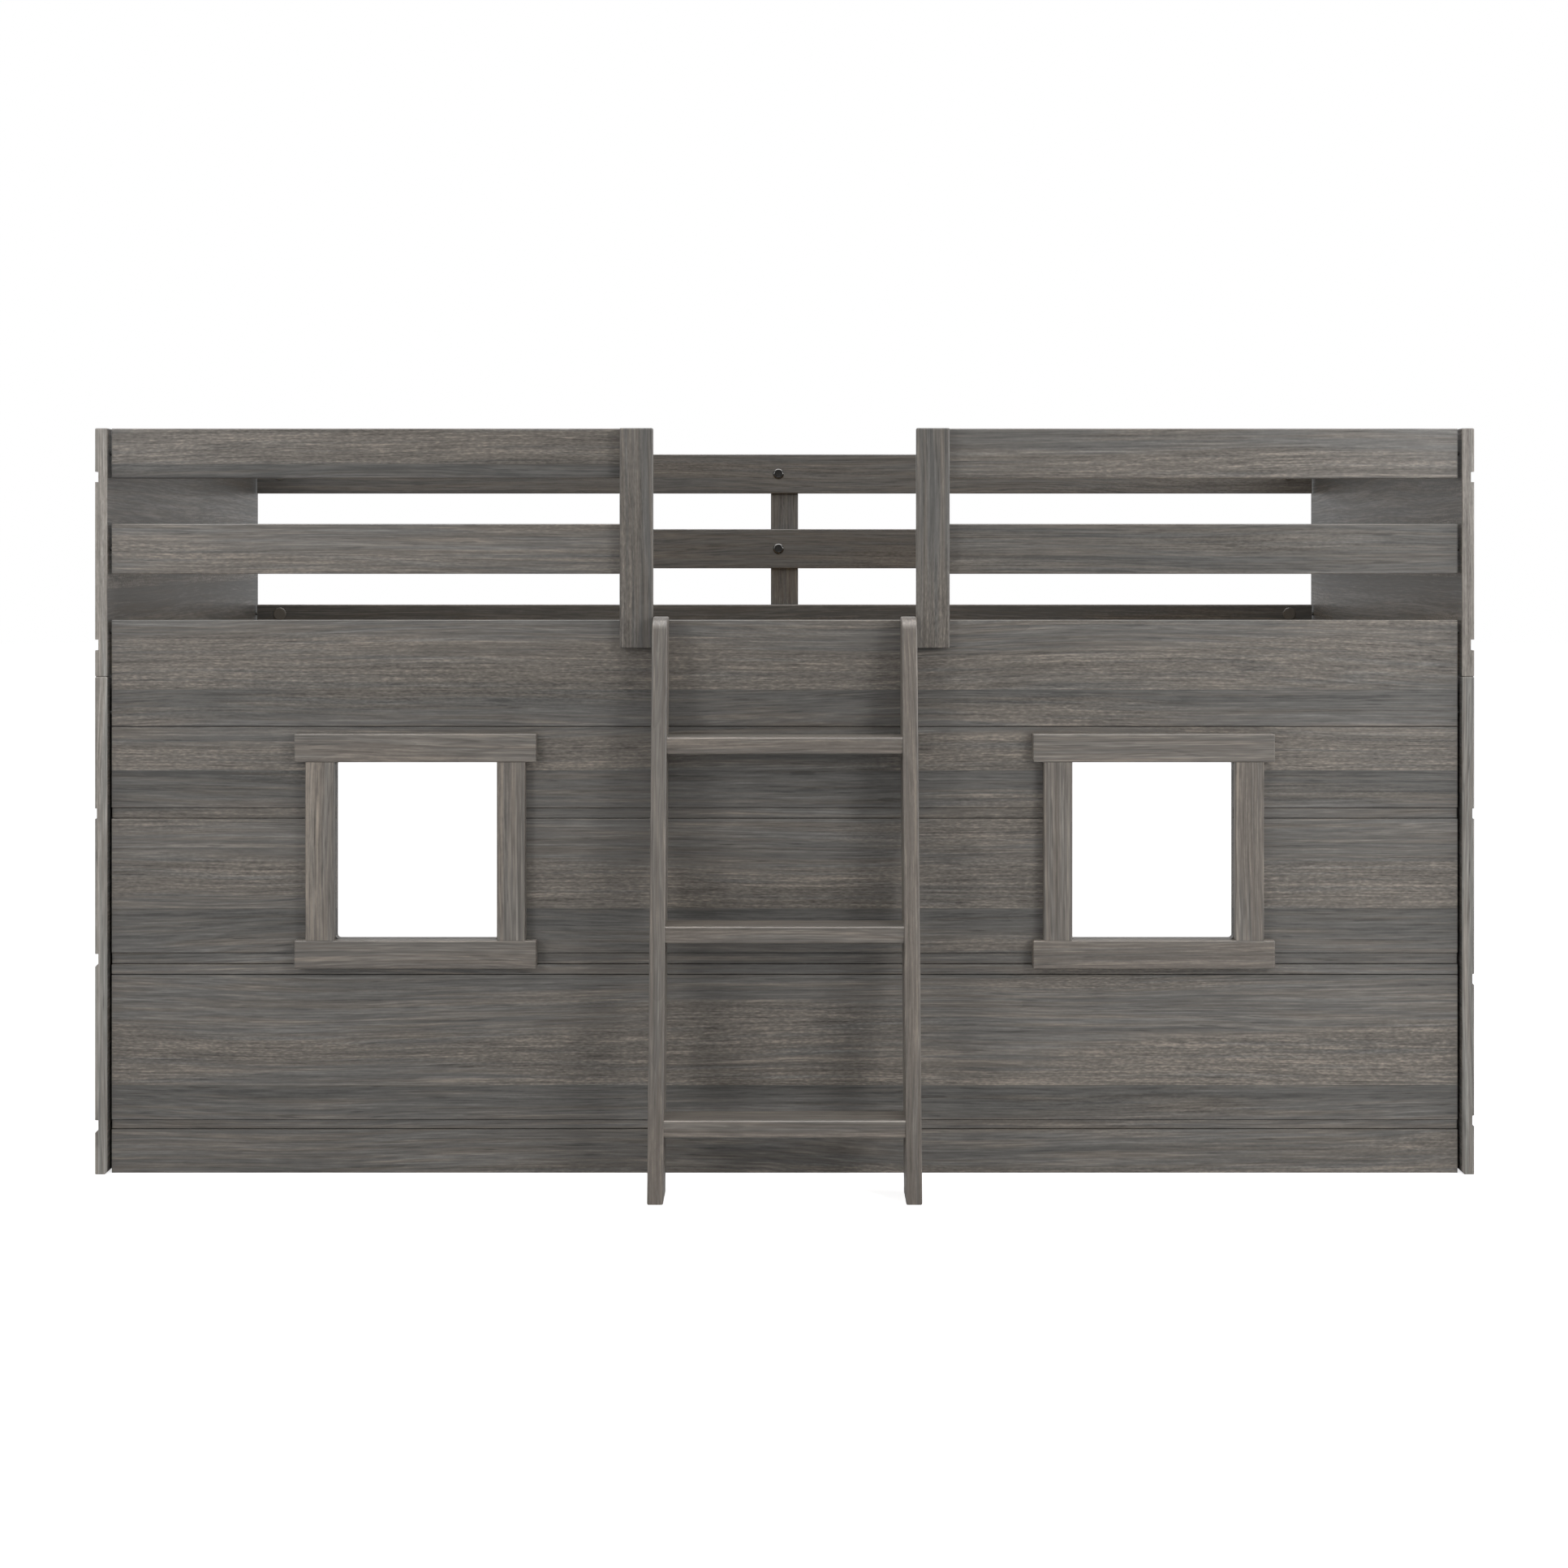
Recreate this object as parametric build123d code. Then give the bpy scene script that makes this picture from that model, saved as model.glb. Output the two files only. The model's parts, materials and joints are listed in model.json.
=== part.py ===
from build123d import *
import math
import os

# A low loft bed with a plank-faced front, two framed windows, guard rails and a lift-off ladder.
# Millimetres. X runs along the bed, Y from the front to the back, Z up from the floor.
# Every solid is drawn with Y counted from the front edges of the end panels. The export moves
# them so that the origin is at the middle of the footprint, on the floor.

# ---- driving dimensions: the frame ----
LENGTH = 1976.0  # outside to outside of the end panels
HEIGHT = 1069.0  # floor to the top of the ends, posts and top rails
DEPTH = 1060.0  # front edge to back edge of an end panel
BOARD = 18.0  # thickness of every panel, rail and post
INSET = 10.0  # the long boards stand this far inside the edges of the ends
END_GAP = 3.7  # shadow gap between a long board and an end panel
EASE = 2.0  # radius on the edges that hands touch
JOINT_EASE = 0.8  # radius on the edges of the front boards
JOINT_NOTCH = (1.2, 5.0)  # height and depth of the shadow line where two front boards meet

# ---- driving dimensions: levels above the floor ----
END_JOINT_Z = 713.0  # joint between the lower and upper part of an end
SIDE_RAIL_Z = (641.6, 793.7)
LOWER_JOINT_Z = 285.4  # joint between the window panel and the lower panel
GUARD_LOW_Z = (860.2, 932.0)
GUARD_TOP_Z = (997.5, HEIGHT)
POST_LOW_Z = 754.4  # lower end of the two front posts
STRETCHER_Z = (60.0, 160.0)
SLAT_Z = (700.0, 718.0)

# ---- driving dimensions: the front ----
POST_WIDTH = 47.6
ENTRY_HALF = 188.4  # half the gap between the front posts
GUARD_END = 192.0  # the guard rails end behind the posts
CHANNEL_DEPTH = 3.0
QUIRK = (1.2, 6.0)  # height and depth of the fine groove along each edge of a channel
CHANNELS_Z = ((508.6, 525.0), (299.4, 316.4), (62.3, 76.8))

# ---- driving dimensions: the windows ----
WINDOW_X = 528.0  # middle of a window
WINDOW_Z = (336.2, 591.0)
WINDOW_HALF = 116.5  # half the opening sawn in the panel
WINDOW_CORNER = 5.0
TRIM_HEIGHT = 40.5  # head and sill
TRIM_HALF_LENGTH = 173.0
JAMB_INNER = 116.5  # from the middle of the window to the jamb's inner edge
JAMB_WIDTH = 40.8

# ---- driving dimensions: the grooves round the ends ----
# bottom of the groove, its height, its depth and the chamfer on its lower lip
UPPER_GROOVES = ((991.8, 14.8, 5.0, 0.5), (750.8, 15.3, 5.0, 0.5))
LEFT_GROOVES = ((509.4, 14.8, 2.9, 0.5), (301.3, 14.5, 5.0, 4.0), (63.3, 14.3, 5.0, 4.0))
RIGHT_GROOVES = ((509.4, 14.8, 2.9, 0.5), (273.1, 14.1, 2.8, 2.2), (70.8, 13.7, 2.8, 2.2))
INNER_FOOT_CHAMFER = 4.0

# ---- driving dimensions: the back ----
BACK_POST_HALF = 25.0
BACK_POST_BOLT_X = -11.0
BACK_POST_BOLT_Z = 745.0  # the one in the side rail

# ---- driving dimensions: inside ----
CORNER_CLEAT = 32.0
CORNER_CLEAT_Z = (5.0, 698.0)
SLAT_CLEAT_DEPTH = 30.0
SLAT_CLEAT_Z = (664.0, SLAT_Z[0])
SLAT_CLEAT_HALF = 911.0  # clear of the caps on the barrel nuts
BATTEN_HALF = 50.0
BATTEN_Z = (15.0, 662.0)
SLAT_COUNT = 13
SLAT_WIDTH = 70.0
SLAT_SPAN = 1860.0  # outer edge of the first slat to outer edge of the last
SLAT_END_GAP = 2.0

# ---- driving dimensions: the ladder ----
LADDER_REACH = 171.6  # the feet stand this far in front of the ends
LADDER_SLOPE = 0.1698  # how far the ladder leans back for each unit of height
LADDER_HALF = 188.1
STRINGER_BOARD = 22.0
STRINGER_WIDTH = 71.0  # measured level, from front to back
STRINGER_TOP_Z = 799.0
STRINGER_NOSE = 20.0  # radius on the top front corner
LADDER_CLEARANCE = 0.3  # between the ladder and the bed
TREAD_TOPS_Z = (111.0, 371.0, 631.0)
TREAD_BOARD = 24.0
TREAD_DEPTH = 62.0
TREAD_EASE = 3.0

# ---- driving dimensions: the ladder's hooks ----
HOOK_PLATE = 3.0
HOOK_WIDTH = 20.0
HOOK_TOP_Z = 797.5
HOOK_TIP_Z = 765.0
HOOK_ROOT_Z = 702.0
HOOK_PLAY = 1.0  # behind the side rail
HOOK_BEND = 2.5
HOOK_POCKET_PLAY = 0.4

# ---- driving dimensions: the fasteners ----
FIT = 0.1  # radial play of every fastener in its hole
PLAY_OUT = 1.0  # how far a hole runs past a fastener's end
SHANK = 6.0
BOLT_HEAD = (15.0, 2.5)  # diameter and thickness
BOLT_REACH = 3.0  # past the middle of its barrel nut
SIDE_RAIL_BOLTS = (16.7, 19.4)  # below the rail's upper edge, above its lower edge
HEX_KEY = 4.0  # across flats
HEX_DEPTH = 2.0
NUT_X = 924.5  # middle of a barrel nut
NUT = (10.0, 13.0)
NUT_BORE = 16.0  # depth from the rail's inner face
CAP = (23.0, 2.0)
CAP_SPIGOT = 2.0
POST_BOLT_LENGTH = 30.0
POST_BOLT_HEAD = (19.4, 2.8)
POST_BOLT_DOME = ((0.0, 0.8), (0.5, 1.6), (1.4, 2.3), (2.9, 2.8))  # in from the rim, height
POST_BOLT_SOCKET = 10.0
SCREW = (4.0, 8.0, 3.0)  # shank and head diameters, height of the head
SCREW_TIP = 4.0
SCREW_BITE = 11.0  # how far a screw goes into the second board
SLAT_SCREW = 32.0
CORNER_SCREWS_Z = (100.0, 250.0, 430.0, 620.0)  # into the ends
FRONT_CORNER_SCREWS_Z = (30.0, 220.0, 350.0, 580.0, 690.0)
BACK_CORNER_SCREWS_Z = (75.0, 145.0, 690.0)
BATTEN_SCREWS_X = (-30.0, 30.0)
BATTEN_SCREWS_Z = (40.0, 240.0, 340.0, 600.0, 652.0)
TRIM_SCREW_IN = 23.0  # from the ends of a head or a sill
JAMB_SCREW_IN = 42.0  # from the ends of a jamb
TREAD_SCREW = 50.0
TREAD_SCREW_IN = 16.0  # from the edges of a tread
HOOK_SCREW = 25.0
HOOK_SCREWS_UP = (14.0, 54.0)  # above the lower end of a hook
DOWEL = (8.0, 40.0)
DOWELS_Y = (120.0, 400.0, 660.0, 940.0)

# ---- worked out from the above ----
X_OUT = LENGTH / 2  # outer face of an end
X_IN = X_OUT - BOARD  # inner face of an end
BOARD_END = X_IN - END_GAP  # end of a long board
FRONT_Y = (INSET, INSET + BOARD)  # the front boards
BACK_Y = (DEPTH - INSET - BOARD, DEPTH - INSET)  # the back boards
PROUD_Y = (INSET - BOARD, INSET)  # what is laid on the front boards: posts and window trims
BACK_POST_Y = (BACK_Y[1], BACK_Y[1] + BOARD)
ORIGIN_Y = (BACK_POST_Y[1] - LADDER_REACH) / 2
SIDES = (("left", -1), ("right", 1))

pieces = {}  # the boards and hooks, which get the fasteners' holes
fasteners = {}
holes = []


# ---------------------------------------------------------------- shapes
def middle(span):
    return (span[0] + span[1]) / 2


def sided(side, low, high):
    """A span of X on one side of the bed, given by its distances from the middle."""
    return (low, high) if side > 0 else (-high, -low)


def block(x, y, z):
    """A box between two corners: each argument is a low and a high value."""
    size = [span[1] - span[0] for span in (x, y, z)]
    return Pos(middle(x), middle(y), middle(z)) * Box(*size)


def rail(x, y, z, grain=Axis.X, ease=EASE):
    """A board whose edges along the grain are eased."""
    solid = block(x, y, z)
    return fillet(solid.edges().filter_by(grain), ease)


def turned(profile):
    """A solid turned about Z from a closed outline of (radius, height) points."""
    return revolve(Plane.XZ * make_face(Polyline(*profile, close=True)), Axis.Z)


def pointed(solid, at, into):
    """A fastener drawn along +Z, put at a point so that it goes into the wood along a direction."""
    across = (0, 1, 0) if into[0] else (1, 0, 0)
    return Plane(origin=at, x_dir=across, z_dir=into) * solid


def hex_pocket(flats, depth, top):
    """The socket for a hex key, cut down from a height."""
    hexagon = RegularPolygon(flats / math.sqrt(3), 6)
    return Pos(0, 0, top) * extrude(hexagon, depth)


# ---------------------------------------------------------------- the two ends
def end_groove(side, groove):
    """A groove along the whole outer face of an end, its lower lip chamfered."""
    low, height, depth, lip = groove
    outside = side * (X_OUT + 1)
    outline = Polyline(
        (outside, low - lip),
        (side * X_OUT, low - lip),
        (side * (X_OUT - lip), low),
        (side * (X_OUT - depth), low),
        (side * (X_OUT - depth), low + height),
        (outside, low + height),
        close=True,
    )
    return extrude(Plane.XZ * make_face(outline), -DEPTH)


def end_panel(side, z, grooves, bottom_ease=EASE):
    """One part of an end: upright edges rounded, then the level ones, then the grooves."""
    solid = block(sided(side, X_IN, X_OUT), (0, DEPTH), z)
    solid = fillet(solid.edges().filter_by(Axis.Z), EASE)
    solid = fillet(solid.faces().sort_by(Axis.Z)[-1].edges(), EASE)
    solid = fillet(solid.faces().sort_by(Axis.Z)[0].edges(), bottom_ease)
    for groove in grooves:
        solid -= end_groove(side, groove)
    return solid


def foot_chamfer(side):
    """The inner bottom edge of an end is cut back along its whole depth."""
    inner = side * (X_IN - 1)
    reach = INNER_FOOT_CHAMFER + 1
    outline = Polyline((inner, -1), (inner, reach), (inner + side * (reach + 1), -1), close=True)
    return extrude(Plane.XZ * make_face(outline), -DEPTH)


def make_ends():
    for name, side in SIDES:
        lower_grooves = LEFT_GROOVES if side < 0 else RIGHT_GROOVES
        upper_z = (END_JOINT_Z, HEIGHT)
        lower_z = (0, END_JOINT_Z)
        pieces[f"{name}_end_upper_panel"] = end_panel(side, upper_z, UPPER_GROOVES)
        lower = end_panel(side, lower_z, lower_grooves, JOINT_EASE)
        pieces[f"{name}_end_lower_panel"] = lower - foot_chamfer(side)


# ---------------------------------------------------------------- the front
def routed(x, z, depth):
    """What a cutter takes off the front face along the whole length."""
    return block(x, (FRONT_Y[0] - 1, FRONT_Y[0] + depth), z)


def front_board(z):
    """A board of the front, with the routed channels that make it look like planks."""
    x = (-BOARD_END, BOARD_END)
    board = rail(x, FRONT_Y, z, ease=JOINT_EASE)
    height, depth = QUIRK
    for low, high in CHANNELS_Z:
        if z[0] < low < z[1]:
            board -= routed(x, (low, high), CHANNEL_DEPTH)
            board -= routed(x, (low, low + height), depth)
            board -= routed(x, (high - height, high), depth)
    return board


def notched(board, top):
    """A front board with a notch along its upper edge, which shows as a line under its neighbour."""
    height, depth = JOINT_NOTCH
    return board - routed((-X_IN, X_IN), (top - height, top + 1), depth)


def window_opening(side):
    outline = RectangleRounded(2 * WINDOW_HALF, WINDOW_Z[1] - WINDOW_Z[0], WINDOW_CORNER)
    at = (side * WINDOW_X, FRONT_Y[0] - 1, middle(WINDOW_Z))
    return pointed(extrude(outline, BOARD + 2), at, (0, 1, 0))


def make_front_boards():
    pieces["front_side_rail"] = front_board(SIDE_RAIL_Z)
    window_panel = notched(front_board((LOWER_JOINT_Z, SIDE_RAIL_Z[0])), SIDE_RAIL_Z[0])
    for _, side in SIDES:
        window_panel -= window_opening(side)
    pieces["front_window_panel"] = window_panel
    pieces["front_lower_panel"] = notched(front_board((0, LOWER_JOINT_Z)), LOWER_JOINT_Z)


def make_guard():
    """The guard rails on both sides of the entry, and the posts that close them."""
    for name, side in SIDES:
        x = sided(side, GUARD_END, BOARD_END)
        pieces[f"front_{name}_upper_guard_rail"] = rail(x, FRONT_Y, GUARD_TOP_Z)
        pieces[f"front_{name}_lower_guard_rail"] = rail(x, FRONT_Y, GUARD_LOW_Z)
        post_x = sided(side, ENTRY_HALF, ENTRY_HALF + POST_WIDTH)
        post = block(post_x, PROUD_Y, (POST_LOW_Z, HEIGHT))
        pieces[f"front_{name}_post"] = fillet(post.edges(), EASE)


def make_window_trims():
    """Each window has a head and a sill with two jambs between them, laid on the panel."""
    for name, side in SIDES:
        centre = side * WINDOW_X
        long_x = (centre - TRIM_HALF_LENGTH, centre + TRIM_HALF_LENGTH)
        head_z = (WINDOW_Z[1], WINDOW_Z[1] + TRIM_HEIGHT)
        sill_z = (WINDOW_Z[0] - TRIM_HEIGHT, WINDOW_Z[0])
        pieces[f"{name}_window_head"] = fillet(block(long_x, PROUD_Y, head_z).edges(), EASE)
        pieces[f"{name}_window_sill"] = fillet(block(long_x, PROUD_Y, sill_z).edges(), EASE)
        for place, towards in (("inner", -side), ("outer", side)):
            jamb_x = sided(towards, JAMB_INNER, JAMB_INNER + JAMB_WIDTH)
            x = (centre + jamb_x[0], centre + jamb_x[1])
            pieces[f"{name}_window_{place}_jamb"] = rail(x, PROUD_Y, WINDOW_Z, Axis.Z)


# ---------------------------------------------------------------- the back
def make_back():
    x = (-BOARD_END, BOARD_END)
    pieces["back_side_rail"] = rail(x, BACK_Y, SIDE_RAIL_Z)
    pieces["back_upper_guard_rail"] = rail(x, BACK_Y, GUARD_TOP_Z)
    pieces["back_lower_guard_rail"] = rail(x, BACK_Y, GUARD_LOW_Z)
    pieces["back_lower_stretcher"] = rail(x, BACK_Y, STRETCHER_Z)
    post = block((-BACK_POST_HALF, BACK_POST_HALF), BACK_POST_Y, (SIDE_RAIL_Z[0], HEIGHT))
    pieces["back_centre_post"] = fillet(post.edges(), EASE)


# ---------------------------------------------------------------- inside
def cleat_spans_y():
    """Where the corner cleats and the slat cleats stand, against the front and back boards."""
    front, back = FRONT_Y[1], BACK_Y[0]
    return (
        ("front", (front, front + CORNER_CLEAT), (front, front + SLAT_CLEAT_DEPTH)),
        ("back", (back - CORNER_CLEAT, back), (back - SLAT_CLEAT_DEPTH, back)),
    )


def slat_centres():
    pitch = (SLAT_SPAN - SLAT_WIDTH) / (SLAT_COUNT - 1)
    return [pitch * (i - (SLAT_COUNT - 1) / 2) for i in range(SLAT_COUNT)]


def make_inside():
    for place, corner_y, slat_y in cleat_spans_y():
        for name, side in SIDES:
            x = sided(side, X_IN - CORNER_CLEAT, X_IN)
            cleat = rail(x, corner_y, CORNER_CLEAT_Z, Axis.Z)
            pieces[f"{place}_{name}_corner_cleat"] = cleat
        x = (-SLAT_CLEAT_HALF, SLAT_CLEAT_HALF)
        pieces[f"{place}_slat_cleat"] = rail(x, slat_y, SLAT_CLEAT_Z)
    batten_y = (FRONT_Y[1], FRONT_Y[1] + BOARD)
    pieces["front_centre_batten"] = rail((-BATTEN_HALF, BATTEN_HALF), batten_y, BATTEN_Z, Axis.Z)
    slat_y = (FRONT_Y[1] + SLAT_END_GAP, BACK_Y[0] - SLAT_END_GAP)
    for number, centre in enumerate(slat_centres(), 1):
        x = (centre - SLAT_WIDTH / 2, centre + SLAT_WIDTH / 2)
        pieces[f"slat_{number:02d}"] = fillet(block(x, slat_y, SLAT_Z).edges(), EASE)


# ---------------------------------------------------------------- the ladder
def ladder_front(z):
    """Y of the ladder's front edge at a height."""
    return -LADDER_REACH + LADDER_SLOPE * z


def stringer(side):
    """A leaning stringer with a level foot, its back cut upright where it meets the side rail."""
    back = INSET - LADDER_CLEARANCE
    knee_z = (back + LADDER_REACH - STRINGER_WIDTH) / LADDER_SLOPE
    outline = Polyline(
        (ladder_front(0), 0),
        (ladder_front(0) + STRINGER_WIDTH, 0),
        (back, knee_z),
        (back, STRINGER_TOP_Z),
        (ladder_front(STRINGER_TOP_Z), STRINGER_TOP_Z),
        close=True,
    )
    x = sided(side, LADDER_HALF - STRINGER_BOARD, LADDER_HALF)
    solid = Pos(x[0], 0, 0) * extrude(Plane.YZ * make_face(outline), STRINGER_BOARD)
    nose = solid.edges().filter_by(Axis.X).group_by(Axis.Z)[-1].sort_by(Axis.Y)[0]
    solid = fillet(nose, STRINGER_NOSE)
    return fillet(solid.faces().filter_by(Axis.X).edges(), EASE)


def hook_middle(side):
    return side * (LADDER_HALF - STRINGER_BOARD / 2)


def hook_pocket(side):
    """The pocket in a stringer's back edge that the hook plate lies in."""
    half = (HOOK_WIDTH + HOOK_POCKET_PLAY) / 2
    x = (hook_middle(side) - half, hook_middle(side) + half)
    back = INSET - LADDER_CLEARANCE
    return block(x, (back - HOOK_PLATE, back + 1), (HOOK_ROOT_Z, STRINGER_TOP_Z + 1))


def hook(side):
    """A steel strip bent down over the side rail, with its root let into the stringer."""
    x = (hook_middle(side) - HOOK_WIDTH / 2, hook_middle(side) + HOOK_WIDTH / 2)
    root_y = (INSET - LADDER_CLEARANCE - HOOK_PLATE, INSET - LADDER_CLEARANCE)
    tip_y = (FRONT_Y[1] + HOOK_PLAY, FRONT_Y[1] + HOOK_PLAY + HOOK_PLATE)
    root = block(x, root_y, (HOOK_ROOT_Z, HOOK_TOP_Z))
    tip = block(x, tip_y, (HOOK_TIP_Z, HOOK_TOP_Z))
    bridge = block(x, (root_y[0], tip_y[1]), (HOOK_TOP_Z - HOOK_PLATE, HOOK_TOP_Z))
    strip = root + bridge + tip
    bends = strip.edges().filter_by(Axis.X).group_by(Axis.Z)[-1]
    return fillet(bends, HOOK_BEND)


def tread(top):
    half = LADDER_HALF - STRINGER_BOARD
    y = (ladder_front(top), ladder_front(top) + TREAD_DEPTH)
    return rail((-half, half), y, (top - TREAD_BOARD, top), ease=TREAD_EASE)


def make_ladder():
    for name, side in SIDES:
        pieces[f"ladder_{name}_stringer"] = stringer(side) - hook_pocket(side)
        pieces[f"ladder_{name}_hook"] = hook(side)
    for name, top in zip(("lower", "middle", "upper"), TREAD_TOPS_Z):
        pieces[f"ladder_{name}_tread"] = tread(top)


# ---------------------------------------------------------------- fasteners
def screw(length, play=0.0):
    """A countersunk wood screw with its head level at z = 0. With play, the hole for it."""
    shank, head, countersink = SCREW[0] / 2 + play, SCREW[1] / 2 + play, SCREW[2]
    tip = length + play
    profile = [(0, -play), (head, -play), (head, 0), (shank, countersink)]
    if play == 0:
        profile = [(0, 0), (head, 0), (shank, countersink)]
    return turned(profile + [(shank, tip - SCREW_TIP), (0, tip)])


def connector_bolt(length, play=0.0):
    """A flat-headed connector bolt. With play, the hole and counterbore for it."""
    head, shank = BOLT_HEAD[0] / 2 + play, SHANK / 2 + play
    past = PLAY_OUT if play else 0
    thick, end = BOLT_HEAD[1], length + past
    solid = turned([(0, -past), (head, -past), (head, thick), (shank, thick), (shank, end), (0, end)])
    return solid if play else solid - hex_pocket(HEX_KEY, HEX_DEPTH, 0)


def barrel_nut(play=0.0):
    """A round nut that lies across the bolt, drawn along +Z. With play, the bore for it."""
    depth = NUT_BORE if play else NUT[1]
    body = Pos(0, 0, depth / 2) * Cylinder(NUT[0] / 2 + play, depth)
    if play:
        return body
    thread = Rot(0, 90, 0) * Cylinder(SHANK / 2 + FIT, NUT[0] + 2)
    return body - Pos(0, 0, NUT[1] / 2) * thread


def nut_cap():
    """A round cover with a spigot, drawn so that its spigot goes along +Z into the nut's bore."""
    radius, thick = CAP[0] / 2, CAP[1]
    spigot = NUT[0] / 2 - FIT
    rim = thick / 2
    return turned(
        [
            (0, -thick),
            (radius - rim, -thick),
            (radius, -thick + rim),
            (radius, 0),
            (spigot, 0),
            (spigot, CAP_SPIGOT),
            (0, CAP_SPIGOT),
        ]
    )


def post_bolt(play=0.0):
    """A bolt with a wide domed head and a hex socket. With play, the hole for its shank."""
    shank, end = SHANK / 2 + play, POST_BOLT_LENGTH
    if play:
        end += PLAY_OUT
        return turned([(0, 0), (shank, 0), (shank, end), (0, end)])
    rim, top = POST_BOLT_HEAD[0] / 2, POST_BOLT_HEAD[1]
    dome = [(rim - inset, -height) for inset, height in POST_BOLT_DOME]
    body = turned([(0, end), (shank, end), (shank, 0), (rim, 0), *dome, (0, -top)])
    return body - hex_pocket(POST_BOLT_SOCKET, HEX_DEPTH, -top)


def connector_places():
    """Outer-face points of the connector bolts: two in a side rail, one in each narrower rail."""
    below, above = SIDE_RAIL_BOLTS
    levels = [SIDE_RAIL_Z[1] - below, SIDE_RAIL_Z[0] + above, middle(GUARD_LOW_Z), middle(GUARD_TOP_Z)]
    places = []
    for _, side in SIDES:
        for z in levels:
            places.append((side, middle(FRONT_Y), z, 1))
            places.append((side, middle(BACK_Y), z, -1))
        places.append((side, middle(BACK_Y), middle(STRETCHER_Z), -1))
    return places


def post_bolt_places():
    """Points on the rails' inner faces, and the direction in which each bolt goes."""
    guard = (middle(GUARD_TOP_Z), middle(GUARD_LOW_Z))
    places = []
    for _, side in SIDES:
        for z in guard + (middle((POST_LOW_Z, SIDE_RAIL_Z[1])),):
            places.append(((side * (ENTRY_HALF + POST_WIDTH / 2), FRONT_Y[1], z), (0, -1, 0)))
    for z in guard + (BACK_POST_BOLT_Z,):
        places.append(((BACK_POST_BOLT_X, BACK_Y[0], z), (0, 1, 0)))
    return places


def corner_screw_places():
    """Screws through the corner cleats into the ends, and into the boards in front or behind."""
    length = CORNER_CLEAT + SCREW_BITE
    into_boards = {"front": FRONT_CORNER_SCREWS_Z, "back": BACK_CORNER_SCREWS_Z}
    places = []
    for place, corner_y, _ in cleat_spans_y():
        inner_y = corner_y[1] if place == "front" else corner_y[0]
        outwards = (0, -1, 0) if place == "front" else (0, 1, 0)
        for _, side in SIDES:
            middle_x = side * (X_IN - CORNER_CLEAT / 2)
            for z in CORNER_SCREWS_Z:
                start = (side * (X_IN - CORNER_CLEAT), middle(corner_y), z)
                places.append((start, (side, 0, 0), length))
            for z in into_boards[place]:
                places.append(((middle_x, inner_y, z), outwards, length))
    return places


def slat_screw_places():
    """A screw down through each end of each slat, and screws through the cleats between them."""
    centres = slat_centres()
    between = [middle(pair) for pair in zip(centres, centres[1:])]
    places = []
    for place, _, slat_y in cleat_spans_y():
        for x in centres:
            places.append(((x, middle(slat_y), SLAT_Z[1]), (0, 0, -1), SLAT_SCREW))
        inner_y = slat_y[1] if place == "front" else slat_y[0]
        outwards = (0, -1, 0) if place == "front" else (0, 1, 0)
        for x in between[::2]:
            start = (x, inner_y, middle(SLAT_CLEAT_Z))
            places.append((start, outwards, SLAT_CLEAT_DEPTH + SCREW_BITE))
    return places


def front_screw_places():
    """Screws through the batten into the boards, and from behind the panel into the trims."""
    length = BOARD + SCREW_BITE
    places = []
    for z in BATTEN_SCREWS_Z:
        for x in BATTEN_SCREWS_X:
            places.append(((x, FRONT_Y[1] + BOARD, z), (0, -1, 0), length))
    trim_levels = (WINDOW_Z[1] + TRIM_HEIGHT / 2, WINDOW_Z[0] - TRIM_HEIGHT / 4)
    jamb_levels = (WINDOW_Z[0] + JAMB_SCREW_IN, WINDOW_Z[1] - JAMB_SCREW_IN)
    rows = (
        (TRIM_HALF_LENGTH - TRIM_SCREW_IN, trim_levels),
        (JAMB_INNER + JAMB_WIDTH / 2, jamb_levels),
    )
    for _, side in SIDES:
        for offset in (-1, 1):
            for aside, levels in rows:
                x = side * WINDOW_X + offset * aside
                places += [((x, FRONT_Y[1], z), (0, -1, 0), length) for z in levels]
    return places


def ladder_screw_places():
    """Screws through the stringers into the treads, and through the hooks into the stringers."""
    places = []
    for _, side in SIDES:
        for top in TREAD_TOPS_Z:
            for depth in (TREAD_SCREW_IN, TREAD_DEPTH - TREAD_SCREW_IN):
                start = (side * LADDER_HALF, ladder_front(top) + depth, top - TREAD_BOARD / 2)
                places.append((start, (-side, 0, 0), TREAD_SCREW))
        for up in HOOK_SCREWS_UP:
            start = (hook_middle(side), INSET - LADDER_CLEARANCE, HOOK_ROOT_Z + up)
            places.append((start, (0, -1, 0), HOOK_SCREW))
    return places


def boxes_meet(a, b):
    lows = zip(a.min, b.max)
    highs = zip(b.min, a.max)
    return all(low < high for low, high in (*lows, *highs))


def drill_holes():
    """Cut each piece with all the fasteners' holes that reach it."""
    reaches = [(hole, hole.bounding_box()) for hole in holes]
    for name, solid in pieces.items():
        own = solid.bounding_box()
        tools = [hole for hole, reach in reaches if boxes_meet(own, reach)]
        if tools:
            pieces[name] = solid.cut(*tools)


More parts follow.
